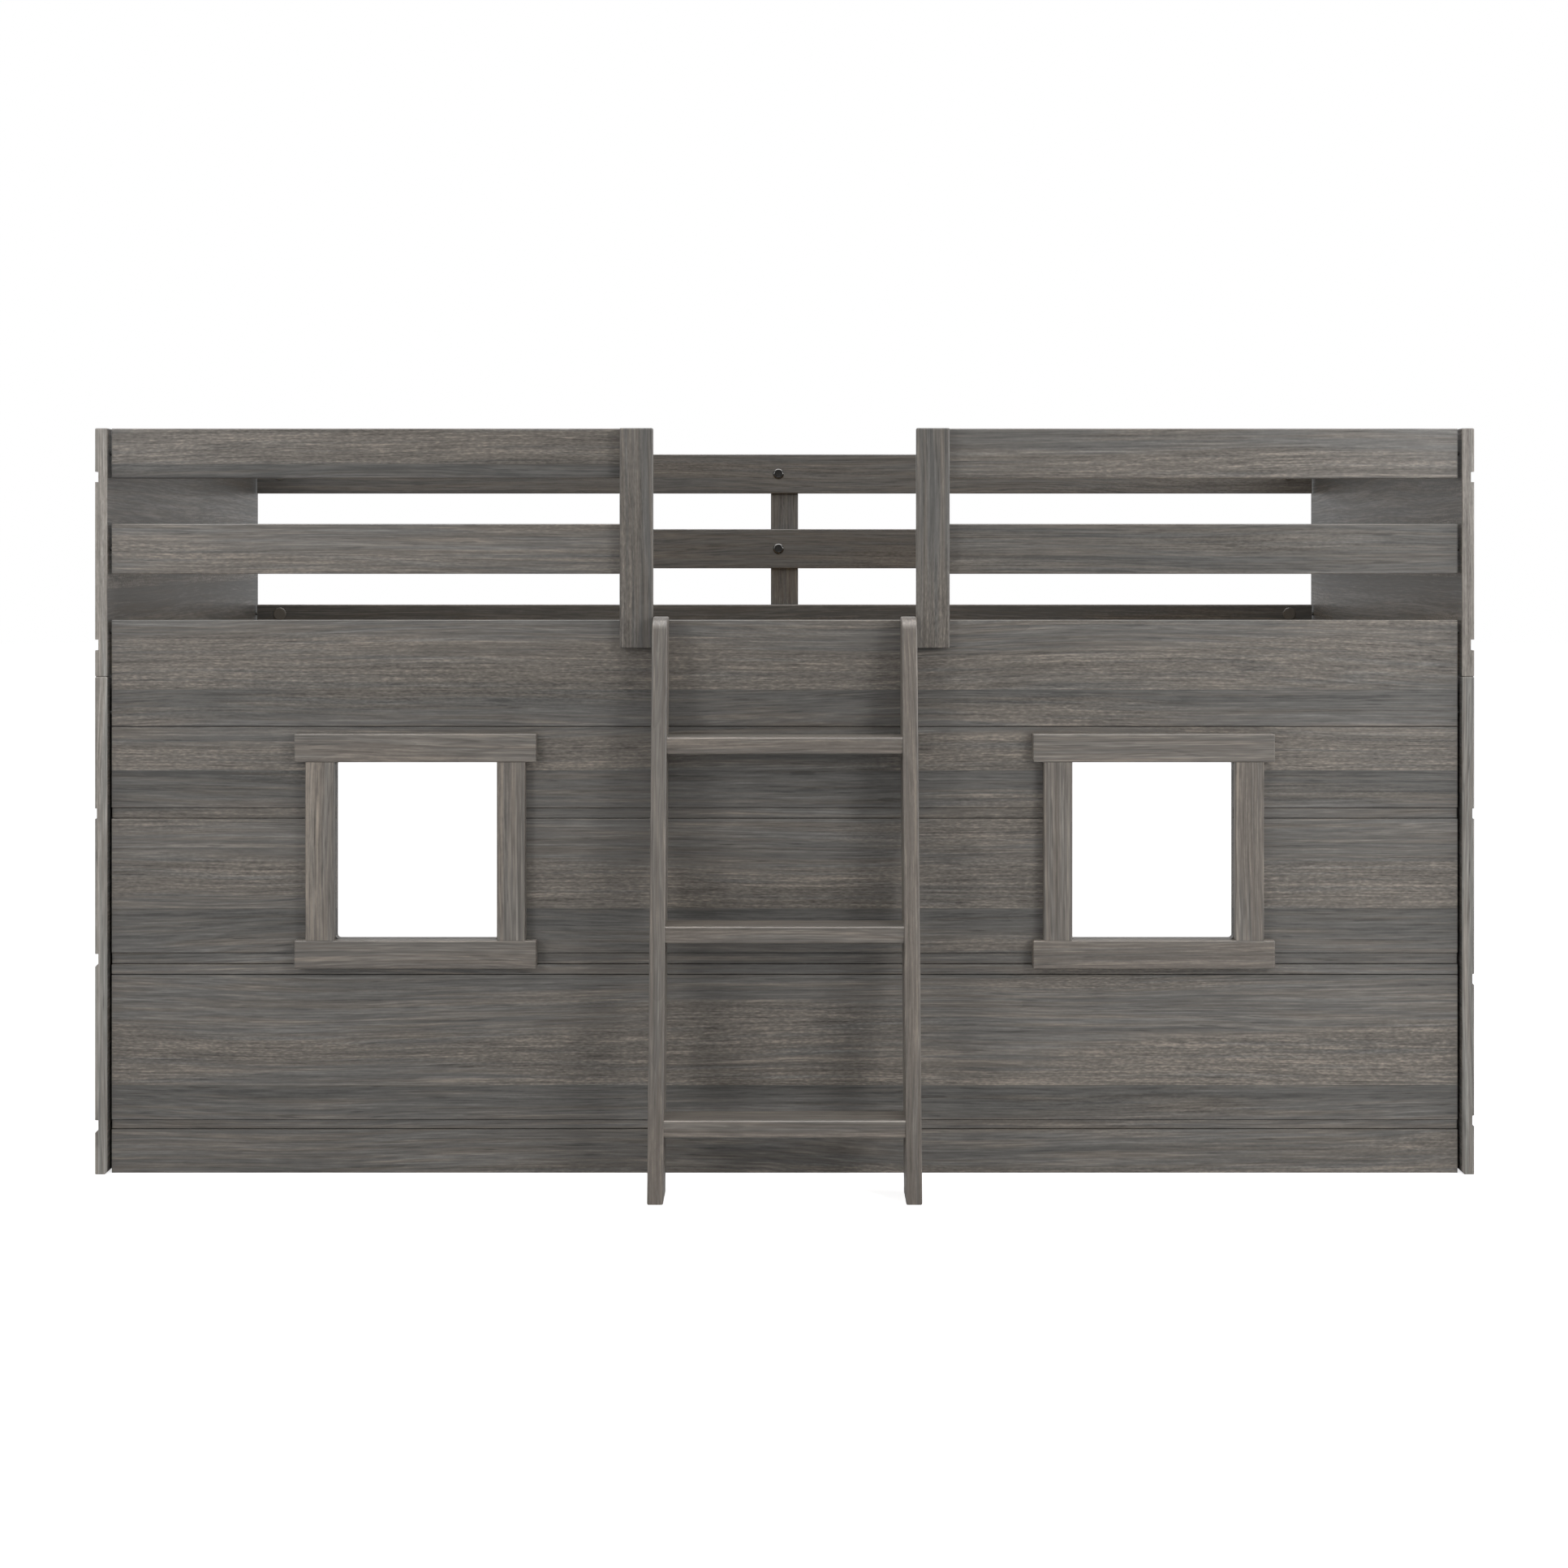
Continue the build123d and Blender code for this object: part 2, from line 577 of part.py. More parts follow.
def fit_connectors():
    """Connector bolts through the ends, their barrel nuts in the rails, and the nuts' caps."""
    bolts, nuts, caps = [], [], []
    length = X_OUT - NUT_X + BOLT_REACH
    for side, y, z, inwards in connector_places():
        head_at, into = (side * X_OUT, y, z), (-side, 0, 0)
        bolts.append(pointed(connector_bolt(length), head_at, into))
        holes.append(pointed(connector_bolt(length, FIT), head_at, into))
        face_at = (side * NUT_X, y + inwards * BOARD / 2, z)
        nut_at = (side * NUT_X, y + inwards * NUT[1] / 2, z)
        nuts.append(pointed(barrel_nut(), nut_at, (0, -inwards, 0)))
        holes.append(pointed(barrel_nut(FIT), face_at, (0, -inwards, 0)))
        caps.append(pointed(nut_cap(), face_at, (0, -inwards, 0)))
    fasteners["connector_bolts"] = Compound(bolts)
    fasteners["barrel_nuts"] = Compound(nuts)
    fasteners["nut_caps"] = Compound(caps)


def fit_post_bolts():
    bolts = []
    for at, into in post_bolt_places():
        bolts.append(pointed(post_bolt(), at, into))
        holes.append(pointed(post_bolt(FIT), at, into))
    fasteners["post_bolts"] = Compound(bolts)


def fit_screws(node, places):
    screws = []
    for at, into, length in places:
        screws.append(pointed(screw(length), at, into))
        holes.append(pointed(screw(length, FIT), at, into))
    fasteners[node] = Compound(screws)


def fit_dowels():
    """Dowels that join the lower and upper part of each end."""
    radius, length = DOWEL[0] / 2, DOWEL[1]
    dowels = []
    for _, side in SIDES:
        for y in DOWELS_Y:
            at = Pos(side * middle((X_IN, X_OUT)), y, END_JOINT_Z)
            dowel = Cylinder(radius, length)
            dowels.append(at * chamfer(dowel.edges(), 1))
            holes.append(at * Cylinder(radius + FIT, length + 2))
    fasteners["end_panel_dowels"] = Compound(dowels)


def fit_fasteners():
    fit_connectors()
    fit_post_bolts()
    fit_dowels()
    bed_screws = corner_screw_places() + slat_screw_places() + front_screw_places()
    fit_screws("wood_screws", bed_screws)
    fit_screws("ladder_screws", ladder_screw_places())
    drill_holes()


def main():
    make_ends()
    make_front_boards()
    make_guard()
    make_window_trims()
    make_back()
    make_inside()
    make_ladder()
    fit_fasteners()
    os.makedirs("parts", exist_ok=True)
    for name, solid in {**pieces, **fasteners}.items():
        export_step(Pos(0, -ORIGIN_Y, 0) * solid, f"parts/{name}.step")


main()
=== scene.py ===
import json
import math

import bmesh
import bpy
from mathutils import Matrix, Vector


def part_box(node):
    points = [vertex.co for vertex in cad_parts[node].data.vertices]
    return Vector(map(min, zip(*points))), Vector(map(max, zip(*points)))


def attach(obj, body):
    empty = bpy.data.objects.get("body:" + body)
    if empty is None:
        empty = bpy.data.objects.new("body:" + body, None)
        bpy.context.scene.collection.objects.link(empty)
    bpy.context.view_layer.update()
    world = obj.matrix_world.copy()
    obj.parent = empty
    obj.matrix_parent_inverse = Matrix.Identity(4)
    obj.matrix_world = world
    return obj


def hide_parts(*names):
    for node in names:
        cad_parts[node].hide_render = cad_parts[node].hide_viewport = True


# A low loft bed in grey-stained pine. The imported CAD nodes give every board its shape. This script
# gives each board its own piece of stained wood, puts real heads on the fasteners, and sets up the
# floor, the light and the camera. Metres, in the same frame as the CAD model.

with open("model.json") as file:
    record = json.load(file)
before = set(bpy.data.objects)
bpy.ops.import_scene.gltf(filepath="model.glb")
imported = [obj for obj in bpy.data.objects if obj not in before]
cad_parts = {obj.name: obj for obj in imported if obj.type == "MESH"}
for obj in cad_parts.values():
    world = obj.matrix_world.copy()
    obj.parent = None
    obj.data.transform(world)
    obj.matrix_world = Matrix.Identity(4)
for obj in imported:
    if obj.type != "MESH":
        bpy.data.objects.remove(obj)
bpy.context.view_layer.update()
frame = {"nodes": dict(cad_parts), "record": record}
NODES = frame["nodes"]
SLOTS = {part["node"]: part["material_slot"] for part in frame["record"]["subparts"]}
MM = 0.001

# ---------------------------------------------------------------- colours, as sRGB
# each wood is given dark, middle and light
STAIN_COOL = ("#3a3937", "#615f5c", "#8b8985")  # where the stain lies grey
STAIN_WARM = ("#403b35", "#6a645d", "#9f9488")  # where the brown of the wood comes through
CALM_COOL = ("#3d3a37", "#64605b", "#948f88")  # narrow boards: the ladder and the window trims
CALM_WARM = ("#423c35", "#6a635c", "#a09588")
EDGE_COOL = ("#4f4d49", "#807e79", "#b0aea9")  # the veneered front and back edges of the ends
EDGE_WARM = ("#524c46", "#837d76", "#b5aea5")
PINE_PALE = ("#b9965f", "#d9ba88", "#ecd9b3")
PINE_RED = ("#9c6c3c", "#c79a63", "#dfbf8e")
BEECH_PALE = ("#a9825a", "#c8a27a", "#dcbd98")
BEECH_RED = ("#96704c", "#b98f68", "#d0ab85")
# each metal or plastic is given darkest and lightest
BLACK_NICKEL = ("#4c4b4a", "#605f5d")
POWDER_BLACK = ("#161618", "#1c1c1e")
ZINC_GREY = ("#8d8b84", "#b9b7af")
CAP_BROWN = ("#55524d", "#625e59")
FLOOR_WHITE = "#efefef"

# ---------------------------------------------------------------- sizes of the figure
# length along the grain and width across it in millimetres, detail, and weight in the tone
BANDS = ((1100, 30, 1.0, 0.30), (520, 6.5, 1.0, 0.60), (190, 2.8, 1.0, 0.64), (36, 2.0, 0.0, 0.46))
HUE_SIZE = (260, 6)  # lines where the brown comes through
FLECK_SIZE = (7.5, 2.3)  # short pores in the open-grained zones
DASH_SIZE = (60, 5)  # dark broken lines
PATCH_SIZE = (640, 70)  # how far a zone of pores runs before it closes
SWELL_SIZE = (1500, 60)  # bends in the growth rings
DRIFT_SIZE = (700, 160)  # wandering of the grain
DRIFT_REACH = 38 * MM  # five times as far as the grain wanders off the straight
RING_PITCH = 9 * MM
STAVE = 198 * MM  # panels and rails are glued up from staves of about this width
STAVE_JUMP = 40.0  # metres at most between the places where two staves read the noise
STAVE_MARGIN = 40 * MM  # elsewhere a stave ends this far below a board, or up to twice as far
PORE_DEPTH = 0.25 * MM
LEAN = math.atan(0.1698)  # the ladder's stringers lean back by this angle

# ---------------------------------------------------------------- strengths of the figure
# tone runs from 0, dark, to 1, light; ripeness from 0, where a stave starts, to 1, where it ends
MIDDLE_TONE = 0.45
STAVE_LUCK = 0.06  # how much lighter a stave may be by chance
YOUNG_WOOD = (0.04, 0.30)  # ripeness over which the dark start of a stave fades
OLD_WOOD = (0.48, 0.82, 0.24)  # ripeness over which pores open, and how much that counts
PATCH_SHARE = 1.4  # how much the patches count
PORE_LUCK = 0.08
OPEN_FROM, OPEN_TO = 0.78, 1.06
CLOSED_PORES = 0.2  # how far pores show where the wood isn't open
BROWN_IF_OPEN = 0.22
BROWN_IF_YOUNG = 0.12
BROWN_FROM, BROWN_TO = 0.33, 0.76
SWELL_RINGS = 16.0  # rings that a bend covers
RING_SHARPNESS = 5.0
RING_TONE = -0.09
DASH_FROM, DASH_TO = 0.66, 0.74
DASH_TONE = -0.22
ROUGH_DARK = 0.56  # the dark streaks are the dullest
ROUGH_BY_TONE = -0.22
PORE_RELIEF = 1.2  # beside the fine lines

# ---------------------------------------------------------------- boards
# levels where a stave ends, on the boards of the front
STAVE_ENDS = {
    "front_side_rail": 694 * MM,
    "front_window_panel": 578 * MM,
    "front_lower_panel": 126 * MM,
    "front_left_upper_guard_rail": 1018 * MM,
}
CALM = ("ladder", "head", "sill", "jamb")  # words in the names of the boards with a calm figure
LACQUER = 0.25  # weight of the clear coat over the stain
# boards whose tone is lighter or darker than the rest: the first word that is in the name counts. The ends'
# darkening is painted shade, for the shade that falls on their inner faces
LIFTS = {
    "upper_tread": 0.05,
    "middle_tread": -0.1,
    "lower_tread": 0.04,
    "ladder": 0.01,
    "head": 0.06,
    "sill": 0.04,
    "jamb": 0.09,
    # painted shade: darkens the ends all over, standing in for the shade on their inner faces
    "_end_": -0.33,
    "centre_post": -0.1,
    "back": -0.19,
    "post": -0.12,
    "front_left_lower": 0.04,
    "front_right_lower": -0.18,
    "front_left_upper": -0.09,
    "": -0.01,
}
EDGE_LIFTS = {"left": 0.08, "right": -0.14}

# ---------------------------------------------------------------- fasteners, as they are drawn
# lengths in millimetres; each is then stretched to the length that it has on the bed
SCREW_DRAWN = 30.0
CONNECTOR_DRAWN = 60.0
DOME_DRAWN = 32.0
NEAR_END = 0.2 * MM  # points this close to a fastener's end belong to it

# ---------------------------------------------------------------- light and camera
# places are in metres, counted in Y from the front edges of the ends
# soft boxes: place, what each is aimed at, power in watts, and the length of its sides
SOFT_BOXES = {
    "left_front_box": ((-2.2, -2.6, 1.6), (-0.4, 0, 0.6), 26, 1.0),
    "left_end_box": ((-4.2, -0.9, 1.6), (-0.4, 0.3, 0.6), 12, 1.2),
    "left_high_box": ((-2.0, -1.8, 3.2), (-0.4, 0.3, 0.6), 6, 1.2),
    "right_front_box": ((2.2, -2.6, 1.6), (0.4, 0, 0.6), 37, 1.0),
    "right_end_box": ((4.2, -0.9, 1.6), (0.4, 0.3, 0.6), 54, 1.2),
    "right_high_box": ((2.0, -1.8, 3.2), (0.4, 0.3, 0.6), 6, 1.2),
    "top_box": ((0, 0.5, 3.5), (0, 0.5, 0), 15, 3.0),
}
EYE = (-0.0009, -3.698, 0.8969)
LENS = 59.28
LENS_SHIFT = -0.1503
FLOOR_HALF = 20.0
FLOOR_GLOW = 0.75
# the room, by the direction of a ray: its Y part runs from the front to the back, its Z part up
ROOM_TURN = (-0.15, 0.15)  # Y parts over which the front gives way to the wall behind
ROOM_LIGHT = (0.23, 0.46)  # of the front and of the wall
ROOM_SHINE = (0.25, 0.90)  # the same, as seen in reflections
CEILING_SHINE = 6.0  # in reflections only
CEILING_RISE = (0.5, 0.8)  # Z parts over which the ceiling comes in
CEILING_BACK = (-0.05, 0.25)  # Y parts over which it fades towards the back


def linear(code):
    """An sRGB hex colour as linear RGBA."""
    channels = [int(code[i : i + 2], 16) / 255 for i in (1, 3, 5)]
    return [c / 12.92 if c <= 0.04045 else ((c + 0.055) / 1.055) ** 2.4 for c in channels] + [1.0]


def add(tree, kind, sockets=None, **settings):
    """Adds a node: its settings, then its inputs, each a plain value or another node's output."""
    node = tree.nodes.new(kind)
    for name, value in settings.items():
        setattr(node, name, value)
    for key, value in (sockets or {}).items():
        if isinstance(value, bpy.types.NodeSocket):
            tree.links.new(value, node.inputs[key])
        else:
            node.inputs[key].default_value = value
    return node


def declare(tree, direction, **sockets):
    """Names a node group's inputs or outputs."""
    for name, kind in sockets.items():
        tree.interface.new_socket(name, in_out=direction, socket_type=f"NodeSocket{kind}")


def fill_ramp(ramp, colours):
    """Spreads colours evenly over a colour ramp."""
    elements = ramp.color_ramp.elements
    while len(elements) < len(colours):
        elements.new(0.5)
    for i, code in enumerate(colours):
        elements[i].position = i / (len(colours) - 1)
        elements[i].color = linear(code)


def new_material(name):
    material = bpy.data.materials.new(name)
    material.use_nodes = True
    material.node_tree.nodes.clear()
    return material, material.node_tree


# ---------------------------------------------------------------- wood
def drawn_noise(tree, place, size, detail):
    """Noise drawn out along the grain: its features have a length and a width in millimetres."""
    length, width = size
    per_metre = (1000 / length, 1000 / width, 1000 / width)
    scaled = add(tree, "ShaderNodeVectorMath", {0: place, 1: per_metre}, operation="MULTIPLY").outputs[0]
    return add(tree, "ShaderNodeTexNoise", {"Vector": scaled, "Scale": 1.0, "Detail": detail}).outputs[0]


def stave_of(tree, given):
    """How ripe the wood is at a point of its stave, from 0 to 1, and the stave's random numbers."""
    level = add(tree, "ShaderNodeSeparateXYZ", {0: given["Grain"]}).outputs["Y"]
    shifted = add(tree, "ShaderNodeMath", {0: level, 1: given["Start"]}, operation="SUBTRACT").outputs[0]
    counted = add(tree, "ShaderNodeMath", {0: shifted, 1: STAVE}, operation="DIVIDE").outputs[0]
    stave = add(tree, "ShaderNodeMath", {0: counted}, operation="FLOOR").outputs[0]
    across = add(tree, "ShaderNodeMath", {0: counted}, operation="FRACT").outputs[0]
    ripe = add(tree, "ShaderNodeMath", {0: 1.0, 1: across}, operation="SUBTRACT").outputs[0]
    key = add(tree, "ShaderNodeCombineXYZ", {0: stave, 1: given["Board"]}).outputs[0]
    chance = add(tree, "ShaderNodeTexWhiteNoise", {"Vector": key}, noise_dimensions="3D").outputs["Color"]
    return ripe, chance


def wandering(tree, grain, chance):
    """Grain of its own for each stave, which wanders a little, so that lines slant and meet."""
    away = add(tree, "ShaderNodeVectorMath", {0: chance, "Scale": STAVE_JUMP}, operation="SCALE").outputs[0]
    place = add(tree, "ShaderNodeVectorMath", {0: grain, 1: away}, operation="ADD").outputs[0]
    drift = drawn_noise(tree, place, DRIFT_SIZE, 1.0)
    centred = add(tree, "ShaderNodeMath", {0: drift, 1: 0.5}, operation="SUBTRACT").outputs[0]
    pushed = add(tree, "ShaderNodeMath", {0: centred, 1: DRIFT_REACH}, operation="MULTIPLY").outputs[0]
    aside = add(tree, "ShaderNodeCombineXYZ", {1: pushed, 2: pushed}).outputs[0]
    return add(tree, "ShaderNodeVectorMath", {0: place, 1: aside}, operation="ADD").outputs[0]


def stave_tone(tree, given, ripe, luck, step):
    """The tone that a stave starts from, and how young its wood is, from -1 to 0."""
    start, end = YOUNG_WOOD
    young = {"Value": ripe, "From Min": start, "From Max": end, "To Min": -1.0, "To Max": 0.0}
    dip = add(tree, "ShaderNodeMapRange", young, interpolation_type="SMOOTHSTEP").outputs[0]
    sockets = {0: luck, 1: STAVE_LUCK, 2: MIDDLE_TONE}
    tone = add(tree, "ShaderNodeMath", sockets, operation="MULTIPLY_ADD").outputs[0]
    tone = add(tree, "ShaderNodeMath", {0: tone, 1: given["Lift"]}, operation="ADD").outputs[0]
    tone = add(tree, "ShaderNodeMath", {0: dip, 1: step, 2: tone}, operation="MULTIPLY_ADD").outputs[0]
    return tone, dip


def with_bands(tree, wood, tone):
    """Lays bands, streaks and fine lines over the tone, and gives the finest for the relief."""
    for length, width, detail, weight in BANDS:
        noise = drawn_noise(tree, wood, (length, width), detail)
        fine = add(tree, "ShaderNodeMath", {0: noise, 1: 0.5}, operation="SUBTRACT").outputs[0]
        sockets = {0: fine, 1: weight, 2: tone}
        tone = add(tree, "ShaderNodeMath", sockets, operation="MULTIPLY_ADD").outputs[0]
    return tone, fine


def with_rings(tree, wood, tone):
    """Lays growth rings over the tone: each darkens slowly, then ends in a line."""
    level = add(tree, "ShaderNodeSeparateXYZ", {0: wood}).outputs["Y"]
    swell = drawn_noise(tree, wood, SWELL_SIZE, 0.0)
    rings = add(tree, "ShaderNodeMath", {0: level, 1: 1 / RING_PITCH}, operation="MULTIPLY").outputs[0]
    sockets = {0: swell, 1: SWELL_RINGS, 2: rings}
    curved = add(tree, "ShaderNodeMath", sockets, operation="MULTIPLY_ADD").outputs[0]
    phase = add(tree, "ShaderNodeMath", {0: curved}, operation="FRACT").outputs[0]
    late = add(tree, "ShaderNodeMath", {0: phase, 1: RING_SHARPNESS}, operation="POWER").outputs[0]
    sockets = {0: late, 1: RING_TONE, 2: tone}
    return add(tree, "ShaderNodeMath", sockets, operation="MULTIPLY_ADD").outputs[0]


def openness_and_warmth(tree, wood, ripe, dip, luck):
    """How open-pored and how brown the wood is: most so in long patches on the ripe side."""
    start, end, share = OLD_WOOD
    grown = {"Value": ripe, "From Min": start, "From Max": end, "To Max": share}
    old = add(tree, "ShaderNodeMapRange", grown, interpolation_type="SMOOTHSTEP").outputs[0]
    blotch = drawn_noise(tree, wood, PATCH_SIZE, 1.0)
    sockets = {0: blotch, 1: PATCH_SHARE, 2: old}
    leaning = add(tree, "ShaderNodeMath", sockets, operation="MULTIPLY_ADD").outputs[0]
    sockets = {0: luck, 1: PORE_LUCK, 2: leaning}
    chanced = add(tree, "ShaderNodeMath", sockets, operation="MULTIPLY_ADD").outputs[0]
    zone = {"Value": chanced, "From Min": OPEN_FROM, "From Max": OPEN_TO}
    openness = add(tree, "ShaderNodeMapRange", zone, interpolation_type="SMOOTHSTEP").outputs[0]

    brown = drawn_noise(tree, wood, HUE_SIZE, 1.0)
    for cause, weight in ((openness, BROWN_IF_OPEN), (dip, BROWN_IF_YOUNG)):
        sockets = {0: cause, 1: weight, 2: brown}
        brown = add(tree, "ShaderNodeMath", sockets, operation="MULTIPLY_ADD").outputs[0]
    tint = {"Value": brown, "From Min": BROWN_FROM, "From Max": BROWN_TO}
    warmth = add(tree, "ShaderNodeMapRange", tint, interpolation_type="SMOOTHSTEP").outputs[0]
    return openness, warmth


def with_pores(tree, wood, openness, flecks, tone):
    """Lays short pores and a few dark broken lines over the tone, and gives the pores."""
    fleck = drawn_noise(tree, wood, FLECK_SIZE, 1.0)
    pore = add(tree, "ShaderNodeMath", {0: fleck, 1: 0.5}, operation="SUBTRACT").outputs[0]
    sockets = {0: openness, 1: 1 - CLOSED_PORES, 2: CLOSED_PORES}
    opened = add(tree, "ShaderNodeMath", sockets, operation="MULTIPLY_ADD").outputs[0]
    shown = add(tree, "ShaderNodeMath", {0: pore, 1: opened}, operation="MULTIPLY").outputs[0]
    tone = add(tree, "ShaderNodeMath", {0: shown, 1: flecks, 2: tone}, operation="MULTIPLY_ADD").outputs[0]
    broken = drawn_noise(tree, wood, DASH_SIZE, 1.0)
    rare = {"Value": broken, "From Min": DASH_FROM, "From Max": DASH_TO}
    dash = add(tree, "ShaderNodeMapRange", rare).outputs[0]
    tone = add(tree, "ShaderNodeMath", {0: dash, 1: DASH_TONE, 2: tone}, operation="MULTIPLY_ADD").outputs[0]
    return tone, shown


def grain_group(name, tones_cool, tones_warm, step, flecks):
    """Wood figure on coordinates that run along, across and through a board, in metres.

    Each stave starts dark, grey and smooth at one edge, turns lighter and in its last third brown
    and open-pored, and ends in a sharp line. Over that lie bands, streaks and fine lines drawn
    out along the grain, growth rings, short pores and a few dark broken lines. The step is how
    much darker a stave starts, and the flecks are how strong its pores are.
    """
    tree = bpy.data.node_groups.new(name, "ShaderNodeTree")
    declare(tree, "INPUT", Grain="Vector", Start="Float", Board="Float", Lift="Float")
    declare(tree, "OUTPUT", Color="Color", Roughness="Float", Relief="Float")
    given = add(tree, "NodeGroupInput").outputs
    ripe, chance = stave_of(tree, given)
    luck = add(tree, "ShaderNodeSeparateXYZ", {0: chance}).outputs
    wood = wandering(tree, given["Grain"], chance)
    tone, dip = stave_tone(tree, given, ripe, luck[0], step)
    tone, fine = with_bands(tree, wood, tone)
    tone = with_rings(tree, wood, tone)
    openness, warmth = openness_and_warmth(tree, wood, ripe, dip, luck[1])
    tone, shown = with_pores(tree, wood, openness, flecks, tone)

    # colour from the tone, between the cool and the warm stain; dark streaks are a little duller
    cool = add(tree, "ShaderNodeValToRGB", {0: tone})
    warm = add(tree, "ShaderNodeValToRGB", {0: tone})
    fill_ramp(cool, tones_cool)
    fill_ramp(warm, tones_warm)
    colours = {"Factor": warmth, 6: cool.outputs[0], 7: warm.outputs[0]}
    colour = add(tree, "ShaderNodeMix", colours, data_type="RGBA").outputs[2]
    sockets = {0: tone, 1: ROUGH_BY_TONE, 2: ROUGH_DARK}
    rough = add(tree, "ShaderNodeMath", sockets, operation="MULTIPLY_ADD").outputs[0]
    sockets = {0: shown, 1: PORE_RELIEF, 2: fine}
    relief = add(tree, "ShaderNodeMath", sockets, operation="MULTIPLY_ADD").outputs[0]
    add(tree, "NodeGroupOutput", {"Color": colour, "Roughness": rough, "Relief": relief})
    return tree


def grain_axes(node):
    """The axes along, across and through a board: its longest, middle and shortest sides."""
    low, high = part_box(node)
    size = high - low
    return sorted(range(3), key=lambda axis: -size[axis])


def figured(tree, group, node, place, axes, board, lift):
    """The shared figure laid along a board's own grain."""
    split = add(tree, "ShaderNodeSeparateXYZ", {0: place}).outputs
    grain = add(tree, "ShaderNodeCombineXYZ", {i: split[axis] for i, axis in enumerate(axes)}).outputs[0]
    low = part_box(node)[0][axes[1]]
    start = STAVE_ENDS.get(node, low - STAVE_MARGIN * (1 + board % 5 / 5))
    sockets = {"Grain": grain, "Start": start, "Board": board, "Lift": lift}
    return add(tree, "ShaderNodeGroup", sockets, node_tree=group).outputs


def finish_wood(tree, colour, roughness, relief, coat):
    """Wood with a low sheen and pores that catch the light, under a clear lacquer or bare."""
    height = {"Height": relief, "Strength": 0.5, "Distance": PORE_DEPTH}
    bump = add(tree, "ShaderNodeBump", height).outputs[0]
    sockets = {"Base Color": colour, "Roughness": roughness, "Normal": bump, "IOR": 1.5}
    sockets.update({"Coat Weight": coat, "Coat Roughness": 0.3, "Coat IOR": 1.5})
    shader = add(tree, "ShaderNodeBsdfPrincipled", sockets)
    add(tree, "ShaderNodeOutputMaterial", {"Surface": shader.outputs[0]})


def wood_material(name, group, node, board, lift=0.0, coat=LACQUER):
    """One board's wood. Pine or beech, planed and sanded: streaks that run the board's length."""
    material, tree = new_material(name)
    place = add(tree, "ShaderNodeTexCoord").outputs["Object"]
    if node.endswith("stringer"):
        place = add(tree, "ShaderNodeMapping", {"Vector": place, "Rotation": (LEAN, 0, 0)}).outputs[0]
    out = figured(tree, group, node, place, grain_axes(node), board, lift)
    finish_wood(tree, out["Color"], out["Roughness"], out["Relief"], coat)
    return material


def end_material(name, face_group, edge_group, node, board, lift):
    """An end: pine boards with upright edge strips, paler, on the front and back edges."""
    material, tree = new_material(name)
    given = add(tree, "ShaderNodeTexCoord").outputs
    face = figured(tree, face_group, node, given["Object"], grain_axes(node), board, lift)
    edge = figured(tree, edge_group, node, given["Object"], (2, 0, 1), board, EDGE_LIFTS[node.split("_")[0]])
    facing = add(tree, "ShaderNodeSeparateXYZ", {0: given["Normal"]}).outputs["Y"]
    size = add(tree, "ShaderNodeMath", {0: facing}, operation="ABSOLUTE").outputs[0]
    strip = add(tree, "ShaderNodeMath", {0: size, 1: 0.5}, operation="GREATER_THAN").outputs[0]
    colours = {"Factor": strip, 6: face["Color"], 7: edge["Color"]}
    colour = add(tree, "ShaderNodeMix", colours, data_type="RGBA").outputs[2]
    levels = {"Factor": strip, 2: face["Relief"], 3: edge["Relief"]}
    relief = add(tree, "ShaderNodeMix", levels, data_type="FLOAT").outputs[0]
    finish_wood(tree, colour, face["Roughness"], relief, LACQUER)
    return material


def dress(node, material):
    slots = NODES[node].data.materials
    slots.clear()
    slots.append(material)


def dress_wood():
    """Gives every board its own material, so that no two boards share a figure."""
    stained = grain_group("stained pine figure", STAIN_COOL, STAIN_WARM, step=0.21, flecks=0.9)
    calm = grain_group("narrow stained pine figure", CALM_COOL, CALM_WARM, step=0.0, flecks=0.25)
    edge_strip = grain_group("edge strip figure", EDGE_COOL, EDGE_WARM, step=0.0, flecks=0.5)
    raw_pine = grain_group("raw pine figure", PINE_PALE, PINE_RED, step=0.05, flecks=0.3)
    beech = grain_group("beech figure", BEECH_PALE, BEECH_RED, step=0.0, flecks=0.6)
    for number, (node, slot) in enumerate(sorted(SLOTS.items()), 1):
        lift = next(amount for word, amount in LIFTS.items() if word in node)
        name = f"{slot}_{node}"
        if slot == "stained_pine" and "_end_" in node:
            dress(node, end_material(name, stained, edge_strip, node, number, lift))
        elif slot == "stained_pine":
            figure = calm if any(word in node for word in CALM) else stained
            dress(node, wood_material(name, figure, node, number, lift))
        elif slot == "raw_pine":
            dress(node, wood_material(name, raw_pine, node, number, coat=0.0))
        elif slot == "beech":
            dress(node, wood_material(name, beech, node, number, coat=0.0))


dress_wood()


